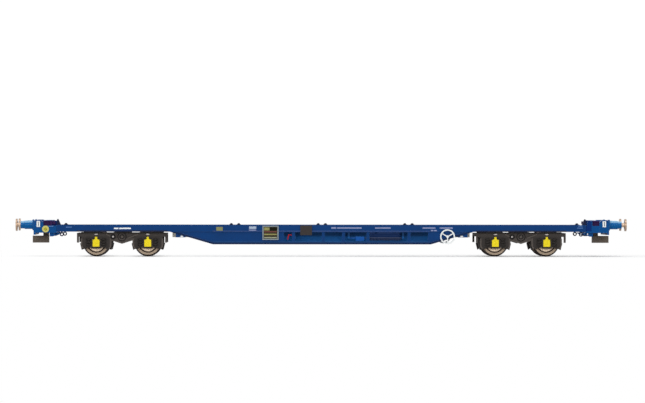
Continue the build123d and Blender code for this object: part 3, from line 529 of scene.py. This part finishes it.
def bolt_head(shape, place, towards, radius, height, sides=10):
    """A short cone that stands on place and tapers in the direction that it faces."""
    spot = Matrix.Translation(Vector(place) * mm) @ turn_to[towards]
    stand = Matrix.Translation((0, 0, height / 2 * mm))
    return bmesh.ops.create_cone(
        shape,
        cap_ends=True,
        cap_tris=False,
        segments=sides,
        radius1=radius * mm,
        radius2=radius * 0.78 * mm,
        depth=height * mm,
        matrix=spot @ stand,
    )["verts"]


def oval_head(shape, place, radius, height, stretch, sides):
    """A bolt shape that is stretched along X and up before it goes to its place."""
    corners = bolt_head(shape, (0, 0, 0), "-Y", radius, height, sides)
    bmesh.ops.scale(shape, vec=(stretch[0], 1, stretch[1]), verts=corners)
    bmesh.ops.translate(shape, vec=Vector(place) * mm, verts=corners)


def plate(shape, outline, near, far):
    """A flat plate with its outline in the XZ plane, between two places across the wagon."""
    front = shape.faces.new([shape.verts.new((x * mm, near * mm, z * mm)) for x, z in outline])
    made = bmesh.ops.extrude_face_region(shape, geom=[front], use_keep_orig=True)["geom"]
    corners = [g for g in made if isinstance(g, bmesh.types.BMVert)]
    bmesh.ops.translate(shape, vec=(0, (far - near) * mm, 0), verts=corners)


print("bolt heads can face:", list(turn_to))

# %% [markdown]
# ## From a shape to a piece
# The wagon's far side is its near side turned round, so a helper copies a mesh and turns the copy half a
# turn about an upright axis. Making the two sides by hand would only invite differences. A second gives a
# mesh its object, its finish and the body that it moves with. The normals are worked out again before
# that, because an extrude or a turn may leave some of them pointing inwards.


# %% Helpers for pieces
def half_turned(shape, x=0.0):
    made = bmesh.ops.duplicate(shape, geom=shape.verts[:] + shape.edges[:] + shape.faces[:])["geom"]
    corners = [g for g in made if isinstance(g, bmesh.types.BMVert)]
    bmesh.ops.rotate(shape, cent=(x * mm, 0, 0), matrix=Matrix.Rotation(math.pi, 3, "Z"), verts=corners)


def add_piece(name, shape, finish, body="chassis"):
    mesh = bpy.data.meshes.new(name)
    bmesh.ops.recalc_face_normals(shape, faces=shape.faces[:])
    shape.to_mesh(mesh)
    shape.free()
    piece = bpy.data.objects.new(name, mesh)
    bpy.context.scene.collection.objects.link(piece)
    mesh.materials.append(finish)
    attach(piece, body)
    print(name, "faces:", len(mesh.polygons))


def add_to_both_sides(name, shape, finish):
    half_turned(shape)
    add_piece(name, shape, finish)


print("piece helpers ready")

# %% [markdown]
# ## Painted light along the girder
# A rolled girder catches light on its ledge and on the lip of its bottom flange, and its foot and the
# channel's foot over the bogies lie in shade. Pale slabs on the ledge and the flange are painted
# highlights, and a dark bent plate along the belly and dark slabs on the channel are painted shade.
# These lines are too thin for the solids. Thin slabs and one bent plate give them a true edge, which a
# painted line on the web would not have.

# %% Ledge, flange and foot
side_face = -16.4
ledge_face = -16.65
web_face = -16.1
belly_end = 49.7

# Pale slab on the ledge: a painted highlight.
ledge_highlight_slab = bmesh.new()
slab(ledge_highlight_slab, (-belly_end, ledge_face - 0.06, 11.5), (belly_end, ledge_face + 0.05, 11.8), edge=0.02)
add_to_both_sides("ledge_highlight_slab", ledge_highlight_slab, ledge_highlight_blue)

# Pale slab on the flange lip: a painted highlight.
flange_highlight_slab = bmesh.new()
slab(flange_highlight_slab, (-belly_end, side_face - 0.03, 6.6), (belly_end, web_face + 0.05, 6.9), edge=0.02)
add_to_both_sides("flange_highlight_slab", flange_highlight_slab, flange_highlight_blue)

# Dark plate along the belly's foot: painted shade.
belly_shade_plate = bmesh.new()
foot_outline = [(-68.9, 11.2), (-49.8, 5.68), (49.8, 5.68), (68.9, 11.2)]
foot_outline += [(67.3, 11.5), (49.6, 6.5), (-49.6, 6.5), (-67.3, 11.5)]
plate(belly_shade_plate, foot_outline, side_face - 0.02, side_face + 0.35)
add_to_both_sides("belly_shade_plate", belly_shade_plate, foot_shade_navy)

# Dark slabs at the channel's foot over the bogies: painted shade.
channel_shade_slabs = bmesh.new()
for low_x, high_x in ((-112.0, -70.5), (70.5, 112.0)):
    slab(channel_shade_slabs, (low_x, side_face - 0.03, 11.42), (high_x, side_face + 0.05, 12.0), edge=0.02)
add_to_both_sides("channel_shade_slabs", channel_shade_slabs, guide_and_shade_navy)

# %% [markdown]
# ## The data panel
# The side carries a bordered data panel, here with plain fields of colour. A decal needs a texture, and
# thin slabs give the same look with a true edge that catches the light. The fields stand a little proud
# of the panel, and the border a little more, so that no two faces share a plane.

# %% Panel, fields and border
panel_left, panel_right, panel_low, panel_high = -27.2, -19.8, 7.7, 14.2
frame_left, frame_right, frame_low, frame_high = -26.65, -20.35, 8.2, 13.7

data_panel = bmesh.new()
slab(data_panel, (-27.0, ledge_face - 0.12, 7.9), (-20.0, side_face, 14.0), edge=0.06)
add_to_both_sides("data_panel", data_panel, field_dark)

field_finish = {"olive": field_olive, "black": field_black, "red": field_red, "cream": field_cream}
panel_fields = {colour: bmesh.new() for colour in field_finish}
for colour, left, right, low, high in (
    ("olive", -26.4, -24.0, 12.0, 13.4),
    ("black", -23.7, -20.6, 12.0, 13.4),
    ("red", -26.4, -20.6, 11.2, 11.6),
    ("olive", -26.4, -20.6, 9.9, 10.5),
    ("cream", -26.4, -20.6, 8.5, 9.0),
):
    slab(panel_fields[colour], (left, ledge_face - 0.17, low), (right, ledge_face - 0.05, high), edge=0.03)
for colour, finish in field_finish.items():
    add_to_both_sides(f"panel_{colour}", panel_fields[colour], finish)

panel_border = bmesh.new()
for left, right, low, high in (
    (panel_left, panel_right, panel_low, frame_low),
    (panel_left, panel_right, frame_high, panel_high),
    (panel_left, frame_left, frame_low, frame_high),
    (frame_right, panel_right, frame_low, frame_high),
):
    slab(panel_border, (left, ledge_face - 0.2, low), (right, ledge_face, high))
add_to_both_sides("panel_border", panel_border, border_grey)

# %% [markdown]
# ## Bars on the sides
# Short pale bars and a small yellow panel mark the channel. Paint on the real model lies flat, so the
# bars stand only a few hundredths of a millimetre proud. White, soft white and grey are three pieces,
# because a piece takes one finish.

# %% Yellow panel and bars
yellow_panel = bmesh.new()
slab(yellow_panel, (-48.3, side_face - 0.12, 11.85), (-45.3, side_face + 0.1, 13.6))
add_to_both_sides("yellow_panel", yellow_panel, panel_yellow)

side_bars = bmesh.new()
soft_bar = bmesh.new()
grey_bars = bmesh.new()
for left, right, low, high, bars in (
    (-95.0, -92.9, 12.6, 13.25, side_bars),
    (-92.6, -87.2, 12.6, 13.25, side_bars),
    (-33.3, -30.0, 12.7, 13.85, soft_bar),
    (-33.3, -30.0, 11.5, 12.4, grey_bars),
    (4.3, 6.5, 12.8, 13.55, grey_bars),
    (6.9, 18.2, 12.85, 13.45, grey_bars),
    (24.3, 31.5, 12.85, 13.45, grey_bars),
    (46.1, 52.0, 12.85, 13.45, grey_bars),
    (53.9, 59.9, 12.85, 13.45, grey_bars),
    (49.9, 51.0, 11.7, 12.3, grey_bars),
    (51.3, 52.6, 11.7, 12.3, grey_bars),
):
    slab(bars, (left, side_face - 0.06, low), (right, side_face + 0.05, high), edge=0.02)
add_to_both_sides("side_bars", side_bars, mark_white)
add_to_both_sides("soft_bar", soft_bar, mark_soft)
add_to_both_sides("grey_bars", grey_bars, mark_grey)

# %% [markdown]
# ## Headstock plates
# White plates hang on the sides of the headstocks, each with a dark slot. The slot could be cut through
# the plate, but a thin dark slab on top, painted shade in place of the slot's hollow, looks the same at
# this size and keeps the mesh plain.

# %% Headstock plates
plate_place = 129.5
end_plates = bmesh.new()
# The dark slot slabs are painted shade.
plate_slots = bmesh.new()
for x in (-plate_place, plate_place):
    slab(end_plates, (x - 0.8, -16.05, 13.55), (x + 0.8, -15.75, 16.3), edge=0.1)
    slab(plate_slots, (x - 0.15, -16.1, 13.9), (x + 0.15, -16.0, 16.0), edge=0.03)
add_to_both_sides("end_plates", end_plates, mark_white)
add_to_both_sides("end_plate_slots", plate_slots, fitting_black)

# %% [markdown]
# ## Bays and lockers
# Between headstock and gusset is a bay under the platform, and on the right a locker with a sloping
# corner closes it. The bay's dark purple lining and its thin dark top lines are painted shade, and so is
# the locker's navy. A few pale strips along the ends are painted highlights. All are thin sheets here, so
# slabs make the square ones, and plates those with a sloping outline.

# %% Bays, lockers and edge strips
# Dark purple sheets and top lines in the bays: painted shade.
bay_shade_sheets = bmesh.new()
for low, high, edge in (
    ((-127.25, -14.6, 13.8), (-123.9, -14.3, 16.1), 0.04),
    ((123.9, -14.6, 13.8), (127.25, -14.3, 16.1), 0.04),
    ((-123.95, -14.75, 14.75), (-121.75, -14.6, 16.1), 0.04),
    ((-127.2, -15.85, 16.05), (-123.4, -15.7, 16.45), 0.03),
    ((123.9, -15.85, 16.05), (127.2, -15.7, 16.45), 0.03),
    ((-124.02, -15.85, 14.2), (-123.38, -15.7, 16.05), 0.03),
):
    slab(bay_shade_sheets, low, high, edge)
add_to_both_sides("bay_shade_sheets", bay_shade_sheets, bay_shade_purple)

# The locker's navy sheets: painted shade.
locker_face = bmesh.new()
face_outline = [(121.1, 11.7), (123.6, 11.7), (123.6, 16.3), (122.5, 16.3)]
face_outline += [(121.8, 15.85), (121.7, 14.1), (121.1, 14.0)]
plate(locker_face, face_outline, -15.86, -15.7)
inner_outline = [(121.65, 14.1), (123.35, 14.1), (123.35, 16.2), (122.5, 16.0), (121.65, 15.75)]
plate(locker_face, inner_outline, -14.45, -14.25)
slab(locker_face, (123.3, -14.25, 14.2), (123.45, 15.7, 16.4), edge=0.02)
add_to_both_sides("locker_face", locker_face, locker_shade_navy)

# Pale strips on the ends: painted highlights.
end_edge_highlights = bmesh.new()
for left, right, low, face in (
    (-125.0, -122.6, 13.7, -16.1),
    (-116.9, -114.2, 13.3, side_face - 0.03),
    (117.0, 119.6, 13.0, side_face - 0.03),
    (117.4, 119.4, 13.95, side_face - 0.03),
):
    slab(end_edge_highlights, (left, face, low), (right, face + 0.4, low + 0.32), edge=0.03)
add_to_both_sides("end_edge_highlights", end_edge_highlights, edge_highlight_pale)

# %% [markdown]
# ## Spots on the pads and the indicator
# The jacking pads carry a white oval spot, and the round indicator an olive centre. Both are as flat as
# paint, so bolt shapes about a tenth of a millimetre thick make them, with enough sides to look round.

# %% Ovals and indicator centres
pad_place = 64.0
pad_marks = bmesh.new()
for x in (-pad_place, pad_place):
    oval_head(pad_marks, (x, web_face, 9.3), 0.5, 0.06, (1.5, 0.75), sides=24)
add_to_both_sides("pad_marks", pad_marks, mark_white)

indicator_middle = middle_of("indicator_right") / mm
indicator_front = -16.3
indicator_spots = bmesh.new()
spot_place = (indicator_middle.x, indicator_front, indicator_middle.z)
bolt_head(indicator_spots, spot_place, "-Y", 0.75, 0.12, sides=20)
add_to_both_sides("indicator_spots", indicator_spots, centre_olive)

# %% [markdown]
# ## Buffer bolts
# Four bolts hold the square base of each buffer to the headstock. They are far smaller than the smallest
# CAD feature, so they belong here and not in the solids. Three loops place them: side, across and up.

# %% Buffer bolts
base_face = -132.2
bolt_offset = 1.95
base_bolts = bmesh.new()
for y in (-buffer_side, buffer_side):
    for across in (-bolt_offset, bolt_offset):
        for up in (-bolt_offset, bolt_offset):
            bolt_head(base_bolts, (base_face, y + across, buffer_height + up), "-X", 0.3, 0.18)
add_to_both_sides("buffer_base_bolts", base_bolts, buffer_blue)

# %% [markdown]
# ## Feet and tread
# Each container spigot stands on a foot in two steps, and the end platforms have raised tread bars. The
# steps could be one cone, but a casting has flat ledges, and those are what catch the light. The spigots
# stand on the near side alone, so their feet have no turned copy.

# %% Spigot feet and tread bars
spigot_places = (1.65, 38.0, 41.4, 116.9)
foot_steps = (
    {"half": 0.85, "near": -15.6, "far": -14.05, "low": 14.45, "high": 14.95},
    {"half": 0.5, "near": -15.35, "far": -14.3, "low": 14.85, "high": 15.35},
)
spigot_feet = bmesh.new()
for x in [end * distance_out for end in (-1, 1) for distance_out in spigot_places]:
    for step in foot_steps:
        low = (x - step["half"], step["near"], step["low"])
        high = (x + step["half"], step["far"], step["high"])
        slab(spigot_feet, low, high, edge=0.12)
add_piece("spigot_feet", spigot_feet, guide_and_shade_navy)

tread_rows, tread_pitch, tread_start = 11, 2.8, -14.0
platform_place, platform_top = 125.3, 16.4
tread_bars = bmesh.new()
for end in (-1, 1):
    x = end * platform_place
    for row in range(tread_rows):
        y = tread_start + row * tread_pitch
        low = (x - 1.6, y - 0.15, platform_top)
        slab(tread_bars, low, (x + 1.6, y + 0.15, platform_top + 0.2), edge=0.05)
add_piece("tread_bars", tread_bars, end_blue)

# %% [markdown]
# ## Relief on the bogie sides
# A cast bogie side is stiffened by ribs along its edges: down the outside of each axle guard and along
# the belly. A link runs up from the middle to the guard, and the middle is a round boss with a bolt in
# it. The ribs stand a third of a millimetre proud, enough to catch the light, and follow the outline of
# the solid behind. Dark discs round the boss and the pin and dark slabs under the axleboxes are painted
# shade in the wells, pale lugs sit above, and the covers have small bolts.

# %% Ribs, wells, lugs and cover bolts
bogie_face = -13.5
rib_face = bogie_face - 0.35
rib_root = bogie_face + 0.05
cover_face = -14.7
boss_height = 9.08
pin_place, pin_height = -4.1, 9.1
guard_rib = [(7.0, 8.2), (7.0, 5.4), (6.7, 4.2), (6.1, 3.55), (5.6, 3.9), (6.15, 4.5), (6.4, 5.5), (6.4, 8.2)]
belly_rib = [(-4.75, 7.34), (0, 5.86), (4.75, 7.34), (4.75, 7.85), (0, 6.4), (-4.75, 7.85)]
long_link = [(2.95, 8.25), (7.5, 10.0), (7.3, 10.5), (2.75, 8.75)]
short_link = [(-5.35, 9.0), (-7.5, 10.0), (-7.3, 10.5), (-5.15, 9.5)]


def relief_at_axle(axle, ribs, wells, cover_bolts, lugs):
    for hand in (-1, 1):
        plate(ribs, [(axle + hand * u, z) for u, z in guard_rib], rib_face, rib_root)
    # Dark slab under the axlebox: painted shade.
    slab(wells, (axle - 2.2, bogie_face - 0.65, 3.75), (axle + 2.2, bogie_face + 0.1, 4.2))
    for across in (-1.15, 1.15):
        for z in (4.95, 7.35):
            bolt_head(cover_bolts, (axle + across, cover_face, z), "-Y", 0.2, 0.14)
    bolt_head(cover_bolts, (axle, cover_face, 6.15), "-Y", 0.55, 0.12, sides=16)
    oval_head(lugs, (axle, bogie_face, 10.2), 0.4, 1.1, (2.5, 0.8), sides=16)


for bogie, pivot in (("bogie_a", -pivot_place), ("bogie_b", pivot_place)):
    ribs, wells, cover_bolts, lugs = [bmesh.new() for _ in range(4)]
    for outline in (belly_rib, long_link, short_link):
        plate(ribs, [(pivot + u, z) for u, z in outline], rib_face, rib_root)
    bolt_head(ribs, (pivot, bogie_face, boss_height), "-Y", 0.8, 0.45, sides=8)
    # Dark discs round the boss and the pin: painted shade.
    bolt_head(wells, (pivot, bogie_face, boss_height), "-Y", 2.1, 0.1, sides=28)
    bolt_head(wells, (pivot + pin_place, bogie_face, pin_height), "-Y", 1.25, 0.1, sides=20)
    for axle in (pivot - axle_offset, pivot + axle_offset):
        relief_at_axle(axle, ribs, wells, cover_bolts, lugs)
    bolt_head(lugs, (pivot + pin_place, bogie_face, pin_height), "-Y", 0.45, 0.4, sides=16)
    for shape in (ribs, wells, cover_bolts, lugs):
        half_turned(shape, pivot)
    add_piece(f"{bogie}_ribs", ribs, rib_grey, bogie)
    add_piece(f"{bogie}_wells", wells, well_shade_dark, bogie)
    add_piece(f"{bogie}_cover_bolts", cover_bolts, cover_yellow, bogie)
    add_piece(f"{bogie}_lugs", lugs, lug_pale, bogie)

# %% [markdown]
# ## The camera
# The photograph is a catalogue view: square to the side, from far away, on plain white. A level camera as
# high as the picture's middle keeps every upright straight with no shift. The two far buffers peep out by
# different amounts behind the near ones, so the camera stands a little to the left of the middle, and the
# size of that step gives its distance: a long lens from about a metre and two thirds. The picture also
# leans by a twentieth of a degree, which the wheels at its two ends show.

# %% A long lens from the side
picture_width, picture_height = 645, 403
mm_per_pixel = 0.4573
floor_line = 256.75
middle_column = 321.9
near_face = -side_face * mm
distance = 1.68
sidestep = -38 * mm
lean = -0.0008
sensor = 36.0

camera_data = bpy.data.cameras.new("side_view")
camera = bpy.data.objects.new("side_view", camera_data)
bpy.context.scene.collection.objects.link(camera)
aim_x = (picture_width / 2 - middle_column) * mm_per_pixel * mm
reach = math.hypot(aim_x - sidestep, distance - near_face)
camera_data.sensor_width = sensor
camera_data.lens = sensor * reach / (picture_width * mm_per_pixel * mm)
camera_data.clip_start = 0.01
camera.location = (sidestep, -distance, (floor_line - picture_height / 2) * mm_per_pixel * mm)
camera.rotation_euler = (math.pi / 2, lean, -math.atan2(aim_x - sidestep, distance - near_face))
bpy.context.scene.camera = camera
print("lens:", round(camera_data.lens, 1), "mm")

# %% [markdown]
# ## White paper
# The paper of the photograph is burnt out to white, and only a thin shadow under the wagon is left,
# deeper towards the right. More light would burn out the wagon too. So the floor glows by itself far from
# the wagon, near it takes a share of its white from the lamps, and under the wheels it takes nearly all
# of it from them. Light Path keeps that glow for rays that look at the paper, so the wagon is lit by
# plain grey paper.


# %% Helpers for the studio
def half_lit(tree, diffuse, glow):
    """Paper that takes part of its white from the lamps, and so keeps part of a shadow."""
    lit = add_node(tree, "ShaderNodeBsdfDiffuse", Color=(diffuse, diffuse, diffuse, 1))
    shine = add_node(tree, "ShaderNodeEmission", Strength=glow)
    both = add_node(tree, "ShaderNodeAddShader")
    join(tree, (lit, 0), (both, 0), (shine, 0), (both, 1))
    return both


def mixed(tree, share, first, second):
    blend = add_node(tree, "ShaderNodeMixShader")
    join(tree, (share, 0), (blend, 0), (first, 0), (blend, 1), (second, 0), (blend, 2))
    return blend


def looked_at(tree):
    """1 for rays that look at a surface, straight or by way of gloss and glass, and 0 for its light."""
    path = add_node(tree, "ShaderNodeLightPath")
    direct = add_node(tree, "ShaderNodeMath", operation="MAXIMUM")
    through = add_node(tree, "ShaderNodeMath", operation="MAXIMUM")
    join(tree, (path, "Is Camera Ray"), (direct, 0), (path, "Is Glossy Ray"), (direct, 1))
    join(tree, (direct, 0), (through, 0), (path, "Is Transmission Ray"), (through, 1))
    return through


print("studio helpers ready")

# %% [markdown]
# ## The floor
# Three masks build the paper: one grows from left to right, one is full beside each wheel, and one fades
# out all shadow beyond a long oval round the wagon. A folded coordinate finds the nearest wheelset, as it
# found the nearest axle for the painted shade on the bogie sides.

# %% The floor
shadow_side = 120 * mm
fade_start, fade_end = 36 * mm, 90 * mm
wheel_shade = 11 * mm
paper_left, paper_right, paper_by_wheel = (0.25, 0.77), (0.8, 0.23), (1.0, 0.04)

paper = bpy.data.materials.new("white_paper")
paper.use_nodes = True
tree = paper.node_tree
tree.nodes.clear()
spot = add_node(tree, "ShaderNodeTexCoord")
along = add_node(tree, "ShaderNodeSeparateXYZ")
rightward = map_range(tree, -shadow_side, shadow_side)
join(tree, (spot, "Object"), (along, "Vector"), (along, "X"), (rightward, "Value"))
squeezed = add_node(tree, "ShaderNodeVectorMath", operation="MULTIPLY")
squeezed.inputs[1].default_value = (0.3, 1.0, 0.0)
away = add_node(tree, "ShaderNodeVectorMath", operation="LENGTH")
fading = map_range(tree, fade_start, fade_end, interpolation_type="SMOOTHSTEP")
join(tree, (spot, "Object"), (squeezed, 0), (squeezed, "Vector"), (away, 0))
join(tree, (away, "Value"), (fading, "Value"))
by_wheel = map_range(tree, 0.0, wheel_shade, 1.0, 0.0, interpolation_type="SMOOTHSTEP")
from_wheel = folded(tree, along.outputs["X"], (0.0, pivot_place, axle_offset))
tree.links.new(from_wheel, by_wheel.inputs["Value"])
open_floor = mixed(tree, rightward, half_lit(tree, *paper_left), half_lit(tree, *paper_right))
near_wagon = mixed(tree, by_wheel, open_floor, half_lit(tree, *paper_by_wheel))
shown = mixed(tree, fading, near_wagon, add_node(tree, "ShaderNodeEmission", Strength=1.0))
plain = add_node(tree, "ShaderNodeBsdfDiffuse", Color=(0.6, 0.6, 0.6, 1))
sheet = add_node(tree, "ShaderNodeOutputMaterial")
join(tree, (mixed(tree, looked_at(tree), plain, shown), 0), (sheet, "Surface"))

ground = bmesh.new()
bmesh.ops.create_grid(ground, x_segments=1, y_segments=1, size=4.0)
ground_mesh = bpy.data.meshes.new("studio_floor")
ground.to_mesh(ground_mesh)
ground.free()
studio_floor = bpy.data.objects.new("studio_floor", ground_mesh)
studio_floor.data.materials.append(paper)
bpy.context.scene.collection.objects.link(studio_floor)
print("floor nodes:", len(tree.nodes))

# %% [markdown]
# ## Light
# A catalogue is lit by large soft boxes: one above and one in front, both wide, so that no shadow has a
# hard edge. The room around adds an even half light. As with the paper, a ray that looks at the room sees
# plain white.

# %% World and softboxes
world = bpy.data.worlds.new("studio")
bpy.context.scene.world = world
world.use_nodes = True
sky = world.node_tree
sky.nodes.clear()
soft = add_node(sky, "ShaderNodeBackground", Color=(1, 1, 1, 1), Strength=0.5)
white = add_node(sky, "ShaderNodeBackground", Color=(1, 1, 1, 1), Strength=1.02)
room = add_node(sky, "ShaderNodeOutputWorld")
join(sky, (mixed(sky, looked_at(sky), soft, white), 0), (room, "Surface"))


def lamp(name, watts, size, place, target):
    data = bpy.data.lights.new(name, "AREA")
    data.energy = watts
    data.shape = "RECTANGLE"
    data.size, data.size_y = size
    lamp_object = bpy.data.objects.new(name, data)
    lamp_object.location = place
    aim = Vector(target) - Vector(place)
    lamp_object.rotation_euler = aim.to_track_quat("-Z", "Y").to_euler()
    bpy.context.scene.collection.objects.link(lamp_object)


lamp("softbox_above", 4.5, (1.2, 0.5), (-0.1, -0.2, 0.9), (0, 0, 0))
lamp("softbox_front", 5.0, (1.2, 0.3), (-0.1, -1.1, 0.2), (0, 0, 0.01))
bpy.context.scene.view_settings.view_transform = "Standard"
print("studio ready")
